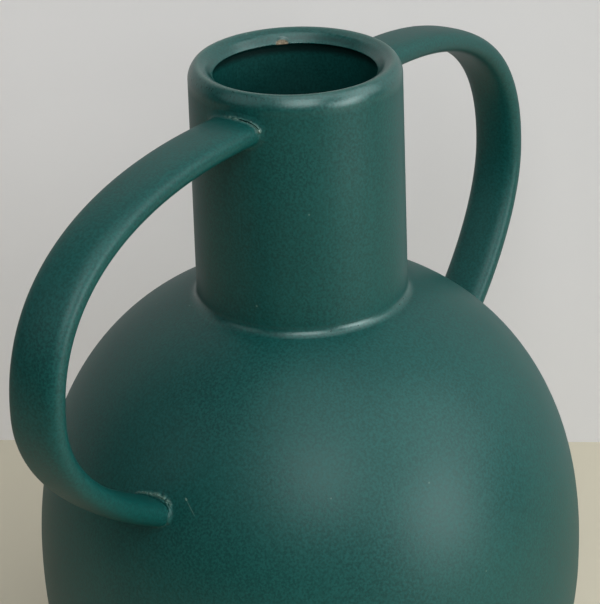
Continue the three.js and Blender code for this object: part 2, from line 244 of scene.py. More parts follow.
class StrapSizes(bpy.types.PropertyGroup):
    """Sizes of the strap handles. A pair holds the left handle's value, then the right one's."""

    width: metres("Strap width", "Width of the strap", 0.0186)
    thickness: metres("Strap thickness", "Thickness of the strap", 0.0086)
    squareness: number(
        "Strap squareness", "Guide of the strap's oval: 0.55 is an ellipse, 1 nearly a rectangle", 0.709
    )
    rise: degrees("Rise at the neck", "Slope of the strap as it leaves the neck", 2.5, 1.4)
    neck_pull: metres("Neck pull", "How far the strap keeps its first direction", 0.0538)
    neck_drop: metres("Neck drop", "Rim down to the strap's middle on the neck", 0.0136, 0.0135)
    reach: metres("Reach", "Axis to the strap's middle where it is furthest out", 0.1322, 0.1344)
    reach_drop: metres("Reach drop", "Rim down to the furthest point", 0.0691, 0.0748)
    crown_pull: metres("Crown pull", "How far it runs upright above that point", 0.0447, 0.0488)
    return_pull: metres("Return pull", "How far it runs upright below that point", 0.026, 0.0288)
    landing_drop: metres("Landing drop", "Neck's seat down to the strap's landing", 0.0439, 0.0599)
    landing_slope: degrees("Landing slope", "Slope of the strap as it leaves the shoulder", 31.0, 26.3)
    landing_pull: metres("Landing pull", "How far it keeps that slope", 0.012, 0.0156)
    landing_taper: number("Landing taper", "Share of the width left at the shoulder", 0.86, 1.0)
    landing_shift: metres(
        "Landing shift", "How far the strap lands to the left, seen from the axis", -0.0025, 0.0
    )
    taper_length: metres("Taper length", "How far up from the shoulder the strap narrows", 0.032)
    root: metres("Root", "How far the strap's ends run into the walls", 0.0025)
    seam_fillet: metres("Seam fillet", "Reach of the slip fillet where a strap is luted on", 0.0016)
    seam_ridge: metres(
        "Seam ridge", "Height of the rough slip squeezed out along a strap's upper edge", 0.0005
    )
    glaze_drop: metres(
        "Glaze drop", "Height of the drop of glaze at the corner of the strap's upper seam", 0.0009, 0.0
    )


class GlazeLook(bpy.types.PropertyGroup):
    """Colours and finish of the glaze and the bare clay."""

    green: tint("Green", "Main colour of the glaze", 0.0008, 0.0475, 0.0425)
    green_pooled: tint("Pooled green", "Colour where the glaze lies thicker", 0.0006, 0.0405, 0.037)
    green_grain: tint("Grain green", "Colour of the fine lighter grain in the glaze", 0.005, 0.1, 0.09)
    # Thin glaze over rough slip, pinholes and the scratch; also a painted highlight along the lip's crest
    thin_green_and_crest_highlight: tint(
        "Thin green", "Colour where the glaze runs thin over a rough edge", 0.105, 0.19, 0.155
    )
    # Painted shade: the glaze is darkened to this colour inside the neck and in the lip's crease
    painted_shade_green: tint(
        "Inside green", "Colour that the glaze darkens to inside the neck", 0.0005, 0.012, 0.011
    )
    # Painted shade: darkens the groove of a seam's crack, where shade falls
    crack: tint("Crack", "Colour in the cracks of a luted seam", 0.004, 0.016, 0.014)
    # Painted highlight: lights up the drop of glaze on a seam
    drop: tint("Drop", "Colour of the thick drop of glaze on a seam", 0.62, 0.76, 0.72)
    clay: tint("Clay", "Colour of the bare fired clay", 0.39, 0.32, 0.23)
    clay_grit: tint("Clay grit", "Colour of the darker grit in the clay", 0.22, 0.165, 0.11)
    satin: factor("Satin", "Roughness of the glaze", 0.44)
    gloss: factor("Gloss", "Strength of the glaze's reflections", 0.43)
    pooled_satin: factor(
        "Pooled satin", "Roughness on the lip and in the neck's fillet, where the glaze lies thicker", 0.3
    )
    pooled_gloss: number(
        "Pooled gloss", "How many times stronger the reflections are on thicker glaze", 2.1, min=0.0
    )
    glint: tint("Glint", "Tint of the glaze's reflections", 0.8, 1.0, 0.98)


class StageLook(bpy.types.PropertyGroup):
    """The floor, the wall behind it, the lights and the camera."""

    floor_colour: tint("Floor colour", "Colour of the table top", 0.6, 0.565, 0.455)
    wall_colour: tint(
        "Wall colour", "Colour of the wall behind the table, on the left", 0.83, 0.825, 0.83
    )
    # Painted shade on the wall's right side
    wall_shade: tint("Wall shade", "Colour of the wall on the right", 0.67, 0.67, 0.675)
    wall_distance: metres("Wall distance", "Vase's axis to the wall", 0.2102)
    wall_turn: degrees("Wall turn", "How far the wall is turned right of square to the camera", 4.2)
    sky: number("Room light", "Strength of the even light from all sides", 0.02, min=0.0)
    camera_place: metres(
        "Camera place", "Where the camera stands", -0.48740, -0.34255, 0.46304, subtype="TRANSLATION"
    )
    camera_turn: degrees("Camera turn", "How the camera is turned", 64.177, 1.746, -55.655)
    camera_lens: number("Camera lens", "Focal length in millimetres on a 36 mm frame", 117.145)


def globe_half(rise, end_radius, sizes):
    """Half-height of the globe's curve that comes in to a radius at a rise."""
    share = (end_radius / sizes.globe_radius) ** sizes.fullness
    return rise / (1.0 - share) ** (1.0 / sizes.fullness)


def upper_half(sizes):
    """Half-height of the globe's curve above its belly line."""
    return globe_half(sizes.seat_height - sizes.belly_height, sizes.neck_base_radius, sizes)


def lower_half(sizes):
    """Half-height of the globe's curve below its belly line."""
    return globe_half(sizes.belly_height - sizes.underside_height, sizes.underside_radius, sizes)


def globe_reach(height, sizes):
    """Outer radius of the globe at a height."""
    rise = height - sizes.belly_height
    half = upper_half(sizes) if rise > 0.0 else lower_half(sizes)
    share = min(abs(rise) / half, 1.0) ** sizes.fullness
    return sizes.globe_radius * (1.0 - share) ** (1.0 / sizes.fullness)


def globe_height(radius, sizes):
    """Height of the shoulder at a distance from the axis."""
    share = min(radius / sizes.globe_radius, 1.0) ** sizes.fullness
    return sizes.belly_height + upper_half(sizes) * (1.0 - share) ** (1.0 / sizes.fullness)


def neck_reach(height, sizes):
    """Outer radius of the neck's taper at a height."""
    taper = sizes.rim_height - sizes.lip_bevel_drop - sizes.lip_round - sizes.neck_foot_height
    share = (height - sizes.neck_foot_height) / taper
    return sizes.neck_base_radius + share * (sizes.neck_lip_radius - sizes.neck_base_radius)


def globe_arc(radius, half, end_radius, count, sizes):
    """Points of the globe's curve from the belly line, above it or with a negative half below it."""
    power = 2.0 / sizes.fullness
    last = math.acos((end_radius / radius) ** (1.0 / power))
    points = []
    for i in range(count + 1):
        angle = last * i / count
        rise = half * math.sin(angle) ** power
        points.append((radius * math.cos(angle) ** power, sizes.belly_height + rise))
    return points


def half_ellipse(centre, half_width, half_height, first):
    """Points of half an ellipse about a centre, from its first angle in degrees."""
    points = []
    for i in range(BEAD_STEPS + 1):
        angle = math.radians(first + 180.0 * i / BEAD_STEPS)
        out = half_width * math.cos(angle)
        points.append((centre[0] + out, centre[1] + half_height * math.sin(angle)))
    return points


def between(start, end, share):
    """A point at a share of the way from start to end."""
    return tuple(a + (b - a) * share for a, b in zip(start, end))


def straight(start, end, count):
    """Points from start to end without the end itself."""
    return [between(start, end, i / count) for i in range(count)]


def hollow_curve(start, corner, end, count):
    """Points of a fillet that leaves start and reaches end along the sides of a corner."""
    points = []
    for i in range(count + 1):
        t = i / count
        points.append(between(between(start, corner, t), between(corner, end, t), t))
    return points


def soft_corner(before, corner, after, reach):
    """Points of a corner of an outline rounded over a reach along both of its sides."""
    ends = []
    for side in (before, after):
        ends.append(between(corner, side, reach / math.dist(corner, side)))
    return hollow_curve(ends[0], corner, ends[1], CORNER_STEPS)


def take_up(name):
    """Name the piece just added and select all of its points."""
    piece = bpy.context.active_object
    piece.name = name
    piece.data.name = name
    bpy.ops.mesh.select_mode(type="VERT")
    bpy.ops.mesh.select_all(action="SELECT")
    return piece


def close_up():
    """Turn all faces of the edited piece outwards and leave edit mode."""
    bpy.ops.mesh.select_all(action="SELECT")
    bpy.ops.mesh.normals_make_consistent(inside=False)
    bpy.ops.object.mode_set(mode="OBJECT")


def turn_outline(name, outline, sizes):
    """Extrude a point along an outline of (radius, height) pairs and spin it about the axis."""
    bpy.ops.object.select_all(action="DESELECT")
    bpy.ops.mesh.primitive_plane_add(size=START_SIZE, enter_editmode=True, location=ORIGIN)
    piece = take_up(name)
    bpy.ops.mesh.merge(type="CENTER")
    bpy.ops.transform.translate(value=(outline[0][0], 0.0, outline[0][1]))
    for before, after in zip(outline, outline[1:]):
        step = (after[0] - before[0], 0.0, after[1] - before[1])
        bpy.ops.mesh.extrude_region_move(TRANSFORM_OT_translate={"value": step})
    bpy.ops.mesh.select_all(action="SELECT")
    bpy.ops.mesh.spin(steps=sizes.turn_steps, angle=math.tau, center=ORIGIN, axis=UP)
    bpy.ops.mesh.select_all(action="SELECT")
    bpy.ops.mesh.remove_doubles(threshold=WELD)
    close_up()
    return piece


def soften_edges(piece, width):
    """Round the sharp edges of a turned piece."""
    bevel = piece.modifiers.new("soft_edges", "BEVEL")
    bevel.width = width
    bevel.segments = 3
    bevel.limit_method = "ANGLE"
    bevel.angle_limit = SHARP_FROM
    bpy.ops.object.modifier_apply(modifier=bevel.name)


def finish_piece(piece, material, slot, *nodes):
    """Shade a piece, give it its finish, and let it stand for its nodes."""
    bpy.ops.object.select_all(action="DESELECT")
    piece.select_set(True)
    bpy.context.view_layer.objects.active = piece
    bpy.ops.object.shade_smooth_by_angle(angle=SMOOTH_TO)
    piece.data.materials.clear()
    piece.data.materials.append(material)
    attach(piece, "root")
    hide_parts(*nodes)


def strap_oval(share, width, straps):
    """A point of the strap's oval section, across and through, and its outward direction."""
    quarter = int(share * 4.0)
    t = share * 4.0 - quarter
    guide = straps.squareness
    points = ((1.0, 0.0), (1.0, guide), (guide, 1.0), (0.0, 1.0))
    while len(points) > 2:
        points = [between(a, b, t) for a, b in zip(points, points[1:])]
    place = between(*points, t)
    run = [b - a for a, b in zip(*points)]
    for _ in range(quarter % 4):
        place = (-place[1], place[0])
        run = (-run[1], run[0])
    half = (width / 2.0, straps.thickness / 2.0)
    out = Vector((run[1] * half[1], -run[0] * half[0])).normalized()
    return (place[0] * half[0], place[1] * half[1]), out


def strap_ends(index, straps, sizes):
    """The two ends of a handle, in the plane of +X and Z.

    Each has its foot, way out, wall and width, and its seam: the share of the fillet left at the
    sides, how much the fillet swells, the height of a drop of glaze, a ridge and a crack. Their
    place goes from 0 at the strap to 1 at the wall, and they start and end across the strap.
    """
    neck_height = sizes.rim_height - straps.neck_drop[index]
    landing_height = sizes.seat_height - straps.landing_drop[index]
    slope = straps.landing_slope[index]
    return (
        SimpleNamespace(
            foot=Vector((neck_reach(neck_height, sizes), 0.0, neck_height)),
            out=Vector((math.cos(straps.rise[index]), 0.0, math.sin(straps.rise[index]))),
            wall=neck_reach,
            width=straps.width,
            side_fillet=0.6,
            swelling=0.0,
            drop=straps.glaze_drop[index],
            ridge=SimpleNamespace(place=0.5, half_width=0.26, height=0.9, start=-0.2, end=0.6),
            crack=SimpleNamespace(place=0.52, start=0.08),
        ),
        SimpleNamespace(
            foot=Vector(
                (globe_reach(landing_height, sizes), straps.landing_shift[index], landing_height)
            ),
            out=Vector((math.cos(slope), 0.0, math.sin(slope))),
            wall=globe_reach,
            width=straps.width * straps.landing_taper[index],
            side_fillet=1.2,
            swelling=0.8,
            drop=0.0,
            ridge=SimpleNamespace(place=0.62, half_width=0.22, height=1.1, start=-0.45, end=0.4),
            crack=SimpleNamespace(place=0.27, start=-0.6),
        ),
    )


def mirrored(place, side):
    """A place in the right handle's plane turned to the given side's."""
    return Vector((place[0] * side, place[1] * side, place[2]))


def bend(point, place, before, after):
    """Lead a Bezier curve through a place with a free guide before and after it."""
    point.handle_left_type = point.handle_right_type = "FREE"
    point.co = place
    point.handle_left = before
    point.handle_right = after


def pull_strap(name, index, side, straps, sizes):
    """Pull the strap's oval along its middle line and run its ends into the walls."""
    neck, landing = strap_ends(index, straps, sizes)
    furthest = Vector((straps.reach[index], 0.0, sizes.rim_height - straps.reach_drop[index]))
    knots = (
        (
            neck.foot,
            neck.foot - neck.out * straps.root,
            neck.foot + neck.out * straps.neck_pull,
        ),
        (
            furthest,
            furthest + UP * straps.crown_pull[index],
            furthest - UP * straps.return_pull[index],
        ),
        (
            landing.foot,
            landing.foot + landing.out * straps.landing_pull[index],
            landing.foot - landing.out * straps.root,
        ),
    )
    bpy.ops.object.select_all(action="DESELECT")
    bpy.ops.curve.primitive_bezier_circle_add(radius=1.0, location=ORIGIN)
    section = bpy.context.active_object
    section.name = name + "_section"
    section.data.resolution_u = STRAP_OVAL_STEPS
    half = Vector((straps.width / 2.0, straps.thickness / 2.0, 0.0))
    quarters = ((-1, 0), (0, 1), (1, 0), (0, -1))
    for point, (x, y) in zip(section.data.splines[0].bezier_points, quarters):
        guide = Vector((y, -x, 0.0)) * straps.squareness
        place = Vector((x, y, 0.0))
        bend(point, place * half, (place - guide) * half, (place + guide) * half)
    bpy.ops.object.select_all(action="DESELECT")
    bpy.ops.curve.primitive_bezier_curve_add(location=ORIGIN)
    piece = bpy.context.active_object
    piece.name = name
    line = piece.data
    line.name = name
    line.dimensions = "3D"
    line.twist_mode = "MINIMUM"
    line.resolution_u = STRAP_LINE_STEPS
    spline = line.splines[0]
    spline.bezier_points.add(len(knots) - len(spline.bezier_points))
    for point, knot in zip(spline.bezier_points, knots):
        bend(point, *(mirrored(place, side) for place in knot))
    line.bevel_mode = "OBJECT"
    line.bevel_object = section
    line.use_fill_caps = True
    bpy.ops.object.convert(target="MESH")
    bpy.ops.object.mode_set(mode="EDIT")
    bpy.ops.mesh.select_all(action="SELECT")
    bpy.ops.mesh.remove_doubles(threshold=WELD)
    bpy.ops.mesh.select_mode(type="FACE")
    for end in (neck, landing):
        bpy.ops.mesh.select_all(action="DESELECT")
        mesh = bmesh.from_edit_mesh(piece.data)
        foot = mirrored(end.foot, side)
        cap = min(mesh.faces, key=lambda face: (face.calc_center_median() - foot).length)
        cap.select_set(True)
        bmesh.update_edit_mesh(piece.data)
        bpy.ops.transform.resize(
            value=(1.0, end.width / straps.width, 1.0),
            center_override=foot,
            use_proportional_edit=True,
            proportional_size=straps.taper_length,
        )
        bpy.ops.mesh.extrude_region_move(
            TRANSFORM_OT_translate={"value": mirrored(-end.out, side) * straps.root}
        )
    close_up()
    bpy.data.objects.remove(section)
    return piece


def cross_wall(start, out, wall, sizes):
    """Where a line that leaves the vessel crosses its wall."""
    inside = -WALL_SEARCH
    outside = WALL_SEARCH
    for _ in range(WALL_HALVINGS):
        middle = (inside + outside) / 2.0
        place = start + out * middle
        if math.hypot(place.x, place.y) < wall(place.z, sizes):
            inside = middle
        else:
            outside = middle
    return start + out * outside


def wall_normal(place, wall, sizes):
    """The way straight out of a turned wall at a place on it."""
    step = 1e-5
    slope = (wall(place.z + step, sizes) - wall(place.z - step, sizes)) / (2.0 * step)
    radius = math.hypot(place.x, place.y)
    return Vector((place.x / radius, place.y / radius, -slope)).normalized()


def ease(value, low, high):
    """A smooth step from 0 to 1 as a value goes from low to high."""
    share = min(max((value - low) / (high - low), 0.0), 1.0)
    return share * share * (3.0 - 2.0 * share)


def swell(value, middle, half_width):
    """A smooth swelling of height 1 about a middle."""
    return math.exp(-(((value - middle) / half_width) ** 2))


def seam_rings(end, side, straps, sizes):
    """Rings of a luted seam from the strap to the wall, each place with the glaze's mark there.

    The mark tells how thin the glaze is. Below 0 it paints shade into a crack, and at its highest it
    paints a highlight on a drop.
    """
    thick = end.out.cross(ACROSS)
    ridge = end.ridge
    crack = end.crack
    rings = [[] for _ in range(SEAM_ROWS + 3)]
    for i in range(SEAM_STEPS):
        place, out = strap_oval(i / SEAM_STEPS, end.width, straps)
        across = place[0] / end.width
        start = end.foot + ACROSS * place[0] + thick * place[1]
        outward = ACROSS * out[0] + thick * out[1]
        corner = cross_wall(start, end.out, end.wall, sizes)
        normal = wall_normal(corner, end.wall, sizes)
        spread = (outward - normal * outward.dot(normal)).normalized()
        upper = ease(outward.z, *UPPER_SIDE)
        under = ease(-outward.z, *UPPER_SIDE)
        wave = noise.noise(mirrored(corner, side) * FILLET_WAVES_IN_METRE)
        reach = straps.seam_fillet * (1.0 + FILLET_WAVE * wave)
        reach *= upper + (1.0 - upper) * end.side_fillet * (1.0 - UNDER_CUT * under)
        wide = 1.0 + end.swelling * upper * swell(across, *SWELLING)
        on_strap = corner + end.out * reach
        on_wall = cross_wall(corner + spread * reach * wide, normal, end.wall, sizes)
        ridge_run = ease(across, ridge.start, ridge.start + RIDGE_FADE_IN)
        ridge_run *= ease(-across, -ridge.end - RIDGE_FADE_OUT, -ridge.end)
        crack_run = ease(across, crack.start, crack.start + CRACK_FADE_IN)
        rings[0].append((on_strap + end.out * SEAM_TUCK - outward * STRAP_SINK, 0.0))
        for row in range(SEAM_ROWS + 1):
            t = row / SEAM_ROWS
            spot = on_strap * (1 - t) ** 2 + corner * 2 * t * (1 - t) + on_wall * t * t
            face = (outward * (1 - t) + normal * t).normalized()
            crumbs = noise.fractal(mirrored(spot, side) * CRUMBS_IN_METRE, *CRUMB_SHAPE)
            rough = min(max(0.7 + 0.9 * crumbs, 0.0), 1.0)
            raised = ridge.height * swell(t, ridge.place, ridge.half_width)
            raised = raised * upper * rough * ridge_run
            drop = 0.0
            if end.drop:
                drop = swell(i / SEAM_STEPS, *DROP_ROUND) * swell(t, *DROP_ALONG)
            cut = swell(t, crack.place, CRACK_HALF_WIDTH) * upper * (1.0 - drop) * crack_run
            sink = EDGE_SINK if row in (0, SEAM_ROWS) else 0.0
            lift = straps.seam_ridge * (RIDGE_LIFT * raised - CRACK_DEPTH * cut)
            lift += end.drop * drop - sink
            # The mark paints shade into the crack and a highlight on the drop
            mark = raised - CRACK_DEPTH * cut + DROP_HIGHLIGHT_MARK * drop
            rings[row + 1].append((spot + face * lift, mark))
        rings[-1].append((on_wall + spread * SEAM_TUCK - normal * WALL_SINK, 0.0))
    return [[(mirrored(spot, side), mark) for spot, mark in ring] for ring in rings]


def grown_from(vert):
    """The selected neighbour that an extrusion has just grown from a point."""
    return next(edge.other_vert(vert) for edge in vert.link_edges if edge.other_vert(vert).select)


def lute_seam(name, rings):
    """Extrude a ring of slip row by row from the strap to the wall and close it underneath."""
    count = len(rings[0])
    bpy.ops.object.select_all(action="DESELECT")
    bpy.ops.mesh.primitive_circle_add(
        vertices=count, radius=START_SIZE, enter_editmode=True, location=ORIGIN
    )
    piece = take_up(name)
    mesh = bmesh.from_edit_mesh(piece.data)
    mesh.verts.layers.float.new(THIN_GLAZE_SHADE_AND_HIGHLIGHT)
    order = list(range(count))
    for row, places in enumerate(rings):
        if row > 0:
            bmesh.update_edit_mesh(piece.data)
            bpy.ops.mesh.extrude_region_move(TRANSFORM_OT_translate={"value": ORIGIN})
        mesh = bmesh.from_edit_mesh(piece.data)
        mesh.verts.index_update()
        mesh.verts.ensure_lookup_table()
        mark_layer = mesh.verts.layers.float[THIN_GLAZE_SHADE_AND_HIGHLIGHT]
        if row > 0:
            order = [grown_from(mesh.verts[i]).index for i in order]
        for i, (spot, mark) in zip(order, places):
            mesh.verts[i].co = spot
            mesh.verts[i][mark_layer] = mark
    bmesh.update_edit_mesh(piece.data)
    close_up()
    return piece


def node(tree, kind, **values):
    """Add a shader node at the next place of a grid and set its values by name."""
    row, column = divmod(len(tree.nodes), NODES_IN_ROW)
    made = tree.nodes.new(kind)
    made.location = (column * NODE_ROOM, -row * NODE_ROOM)
    for name, value in values.items():
        if name in made.inputs:
            made.inputs[name].default_value = value
        else:
            setattr(made, name, value)
    return made


def new_material(name):
    """A material with its node tree and its surface shader."""
    material = bpy.data.materials.new(name)
    material.use_nodes = True
    tree = material.node_tree
    tree.nodes.clear()
    output = node(tree, "ShaderNodeOutputMaterial")
    surface = node(tree, "ShaderNodeBsdfPrincipled")
    tree.links.new(surface.outputs["BSDF"], output.inputs["Surface"])
    return material, tree, surface


def feed(tree, socket, value):
    """Link a socket to another one, or set it to a value."""
    if isinstance(value, bpy.types.NodeSocket):
        tree.links.new(value, socket)
    else:
        socket.default_value = value


def mix_colour(tree, amount, first, second):
    """A colour mix. Each side is a colour or a socket."""
    mix = node(tree, "ShaderNodeMix", data_type="RGBA")
    for index, value in zip(MIX_INPUTS, (amount, first, second)):
        feed(tree, mix.inputs[index], value)
    return mix.outputs[MIX_RESULT]


def dress(tree, surface, values):
    """Link or set sockets of the surface shader by name."""
    for name, value in values.items():
        feed(tree, surface.inputs[name], value)


def ramp(tree, source, low, high, to_low=0.0, to_high=1.0):
    """Map a socket from one range to another, held at the ends."""
    made = node(tree, "ShaderNodeMapRange")
    names = ("Value", "From Min", "From Max", "To Min", "To Max")
    for name, value in zip(names, (source, low, high, to_low, to_high)):
        feed(tree, made.inputs[name], value)
    return made.outputs["Result"]


def combine(tree, operation, first, second):
    """One number from two, each a socket or a number."""
    made = node(tree, "ShaderNodeMath", operation=operation)
    feed(tree, made.inputs[0], first)
    feed(tree, made.inputs[1], second)
    return made.outputs["Value"]


def product(tree, first, *others):
    """Several numbers multiplied, each a socket or a number."""
    for other in others:
        first = combine(tree, "MULTIPLY", first, other)
    return first


def read_vector(tree, kind, vector, result, **values):
    """A result of a node that works on a vector."""
    made = node(tree, kind, **values)
    tree.links.new(vector, made.inputs[0])
    return made.outputs[result]


def length_of(tree, vector):
    """The length of a vector."""
    return read_vector(tree, "ShaderNodeVectorMath", vector, "Value", operation="LENGTH")


def object_place(tree):
    """The place on the piece in its own coordinates."""
    return node(tree, "ShaderNodeTexCoord").outputs["Object"]


def clouds(tree, where, **values):
    """Soft noise between 0 and 1."""
    return read_vector(tree, "ShaderNodeTexNoise", where, "Fac", **values)


def dots(tree, where, scale):
    """Distance from the nearest of many scattered dots."""
    return read_vector(tree, "ShaderNodeTexVoronoi", where, "Distance", Scale=scale)


def roughen(tree, surface, height, strength, depth):
    """Give a surface a fine relief."""
    bump = node(tree, "ShaderNodeBump", Strength=strength, Distance=depth)
    tree.links.new(height, bump.inputs["Height"])
    tree.links.new(bump.outputs["Normal"], surface.inputs["Normal"])


def marked(tree, where, middle, turn, size):
    """A mask that is 1 inside a small turned ellipsoid and fades out at its edge."""
    space = {"vector_type": "TEXTURE", "Location": middle, "Rotation": turn, "Scale": size}
    inside = read_vector(tree, "ShaderNodeMapping", where, "Vector", **space)
    return ramp(tree, length_of(tree, inside), 1.0, 0.75)


def ringed(tree, radius, middle, half_width):
    """A mask that is 1 on a ring about the axis and fades out at its half-width."""
    off = node(tree, "ShaderNodeMath", operation="ABSOLUTE")
    tree.links.new(combine(tree, "SUBTRACT", radius, middle), off.inputs[0])
    return ramp(tree, off.outputs["Value"], half_width, half_width / 3.0)


def glaze_ground(tree, pooling, grain, look):
    """The glaze's own colour with its slow pooling and fine grain."""
    pooled = ramp(tree, pooling, 0.35, 0.65)
    colour = mix_colour(tree, pooled, look.green[:], look.green_pooled[:])
    speckle = ramp(tree, grain, 0.35, 0.65, 0.0, 0.5)
    return mix_colour(tree, speckle, colour, look.green_grain[:])


def seam_tones(tree, colour, look):
    """Thin glaze on rough slip, painted shade in the groove of its cracks, and a painted highlight on a
    drop of thick glaze.

    Each row holds the seam's mark where a tone starts and where it is full, and its full share.
    """
    thin = node(tree, "ShaderNodeAttribute", attribute_name=THIN_GLAZE_SHADE_AND_HIGHLIGHT).outputs["Fac"]
    for start, full, most, tone in (
        (0.1, 0.9, 0.85, look.thin_green_and_crest_highlight),
        # painted shade in the crack
        (-0.2, -0.9, 0.8, look.crack),
        # painted highlight on the drop
        (1.4, 2.0, 1.0, look.drop),
    ):
        colour = mix_colour(tree, ramp(tree, thin, start, full, 0.0, most), colour, tone[:])
    return colour


def worn_marks(tree, where, colour, look):
    """Scattered pinholes, and a short scratch with a nick beside it on the shoulder."""
    specks = ramp(tree, dots(tree, where, PINHOLE_SCALE), 0.014, 0.024, 0.6, 0.0)
    colour = mix_colour(tree, specks, colour, look.thin_green_and_crest_highlight[:])
    scratch = marked(tree, where, SCRATCH_PLACE, SCRATCH_TURN, SCRATCH_SIZE)
    nick = marked(tree, where, NICK_PLACE, SCRATCH_TURN, NICK_SIZE)
    worn = combine(tree, "MAXIMUM", product(tree, scratch, SCRATCH_SHARE), nick)
    return mix_colour(tree, worn, colour, look.thin_green_and_crest_highlight[:])


def chipped_clay(tree, chip, grain, colour, look):
    """Bare clay in the lip's chip."""
    gritty = ramp(tree, grain, 0.4, 0.6)
    clay = mix_colour(tree, gritty, look.clay[:], look.clay_grit[:])
    return mix_colour(tree, product(tree, chip, CHIP_SHARE), colour, clay)


def painted_neck_shade(tree, level, radius, colour, look, sizes):
    """Painted shade inside the neck: the glaze's colour is darkened more with depth, and most in a band
    under the lip.
    """
    throat = sizes.rim_height - sizes.lip_depth
    wall_middle = sizes.neck_lip_radius - sizes.neck_wall / 2.0
    inside = ramp(tree, radius, wall_middle + 0.001, wall_middle)
    beneath = ramp(tree, level, throat, throat - sizes.lip_undercut)
    deep = ramp(tree, level, throat - 0.026, throat - 0.004, 0.65, 0.2)
    band = ramp(tree, level, throat - 0.0045, throat - 0.0022, 0.0, 0.95)
    # Painted shade, darkest in the band under the lip where its shadow falls
    shade = product(tree, combine(tree, "MAXIMUM", deep, band), beneath, inside)
    return mix_colour(tree, shade, colour, look.painted_shade_green[:])


def painted_lip_highlight_and_shade(tree, level, radius, pooling, colour, look, sizes):
    """A painted highlight along the lip's crest, and a streaky line of painted shade in the crease where
    its band ends.
    """
    on_lip = ramp(tree, level, sizes.rim_height - 0.0045, sizes.rim_height - 0.0035)
    # Painted highlight along the crest
    crest_radius = sizes.neck_lip_radius - sizes.lip_crest_inset
    crest = ringed(tree, radius, crest_radius - 0.0003, 0.0013)
    crest = product(tree, crest, on_lip, CREST_HIGHLIGHT_SHARE)
    colour = mix_colour(tree, crest, colour, look.thin_green_and_crest_highlight[:])
    # Painted shade in the crease where the band ends
    crease = ringed(tree, radius, crest_radius - sizes.lip_band - 0.0011, 0.0007)
    streaky = ramp(tree, pooling, 0.38, 0.6, 0.1, 0.75)
    crease = product(tree, crease, on_lip, streaky)
    return mix_colour(tree, crease, colour, look.painted_shade_green[:])


def glossy_places(tree, level, radius, pooling, sizes):
    """Where the glaze lies thicker: in patches on the lip and in the neck's fillet."""
    rim = sizes.rim_height
    seat = sizes.seat_height
    lip = ramp(tree, level, rim - 0.008, rim - 0.0035)
    above = ramp(tree, level, seat - 0.001, seat + 0.0005)
    below = ramp(tree, level, seat + 0.003, seat + 0.0012)
    glossy = combine(tree, "MAXIMUM", lip, product(tree, above, below))
    reach = sizes.neck_base_radius + sizes.neck_fillet
    on_neck = ramp(tree, radius, reach + 0.003, reach)
    patchy = ramp(tree, pooling, 0.3, 0.55, 0.7, 1.0)
    return product(tree, glossy, on_neck, patchy)


def satin_glaze(look, sizes):
    """Green satin glaze: slow pooling, fine grain and thin over rough slip; painted shade in its cracks,
    inside the neck and in the lip's crease; painted highlights on the lip's crest and a seam's drop.

    It is glossier on the lip and in the neck's fillet, and duller where it is seen edge on.
    """
    material, tree, surface = new_material("satin_green_glaze")
    where = object_place(tree)
    level = read_vector(tree, "ShaderNodeSeparateXYZ", where, "Z")
    flat = node(tree, "ShaderNodeVectorMath", operation="MULTIPLY")
    feed(tree, flat.inputs[0], where)
    feed(tree, flat.inputs[1], (1.0, 1.0, 0.0))
    radius = length_of(tree, flat.outputs["Vector"])
    pooling = clouds(tree, where, Scale=28.0, Detail=3.0, Roughness=0.5)
    grain = clouds(tree, where, Scale=1200.0, Detail=1.5, Roughness=0.6)
    skin = clouds(tree, where, Scale=1100.0, Detail=3.0, Roughness=0.6)
    lean = (0.0, 0.0, math.atan2(sizes.chip_place[1], sizes.chip_place[0]))
    chip = marked(tree, where, sizes.chip_place, lean, sizes.chip_size)

    colour = glaze_ground(tree, pooling, grain, look)
    colour = seam_tones(tree, colour, look)
    colour = worn_marks(tree, where, colour, look)
    colour = chipped_clay(tree, chip, grain, colour, look)
    colour = painted_neck_shade(tree, level, radius, colour, look, sizes)
    colour = painted_lip_highlight_and_shade(tree, level, radius, pooling, colour, look, sizes)
    glossy = glossy_places(tree, level, radius, pooling, sizes)
    satin = ramp(tree, grain, 0.3, 0.7, look.satin - SATIN_WAVE, look.satin + SATIN_WAVE)
    shine = product(tree, glossy, look.satin - look.pooled_satin)
    facing = node(tree, "ShaderNodeLayerWeight", Blend=0.5).outputs["Facing"]
    edge_on = ramp(tree, facing, 0.45, 0.95, look.gloss, look.gloss * EDGE_GLOSS)
    richer = ramp(tree, glossy, 0.0, 1.0, 1.0, look.pooled_gloss)
    unbroken = combine(tree, "SUBTRACT", 1.0, chip)
    finish = {
        "Base Color": colour,
        "Roughness": combine(tree, "SUBTRACT", satin, shine),
        "Specular IOR Level": product(tree, edge_on, richer, unbroken),
        "Specular Tint": look.glint[:],
    }
    dress(tree, surface, finish)
    roughen(tree, surface, skin, 0.2, 0.0002)
    return material


def bare_clay(look):
    """Unglazed buff stoneware with fine grit."""
    material, tree, surface = new_material("bare_buff_clay")
    where = object_place(tree)
    body = clouds(tree, where, Scale=90.0, Detail=4.0, Roughness=0.6)
    tone = ramp(tree, body, 0.3, 0.7, 0.0, 0.35)
    colour = mix_colour(tree, tone, look.clay[:], look.clay_grit[:])
    speck = ramp(tree, dots(tree, where, GRIT_SCALE), 0.12, 0.28, 0.8, 0.0)
    colour = mix_colour(tree, speck, colour, look.clay_grit[:])
    dress(tree, surface, {"Base Color": colour, "Roughness": MATT})
    roughen(tree, surface, body, 0.35, 0.0003)
    return material


def pale_table(colour):
    """A plain matt table top."""
    material, tree, surface = new_material("pale_table")
    finish = {"Base Color": colour, "Roughness": MATT, "Specular IOR Level": 0.0}
    dress(tree, surface, finish)
    return material


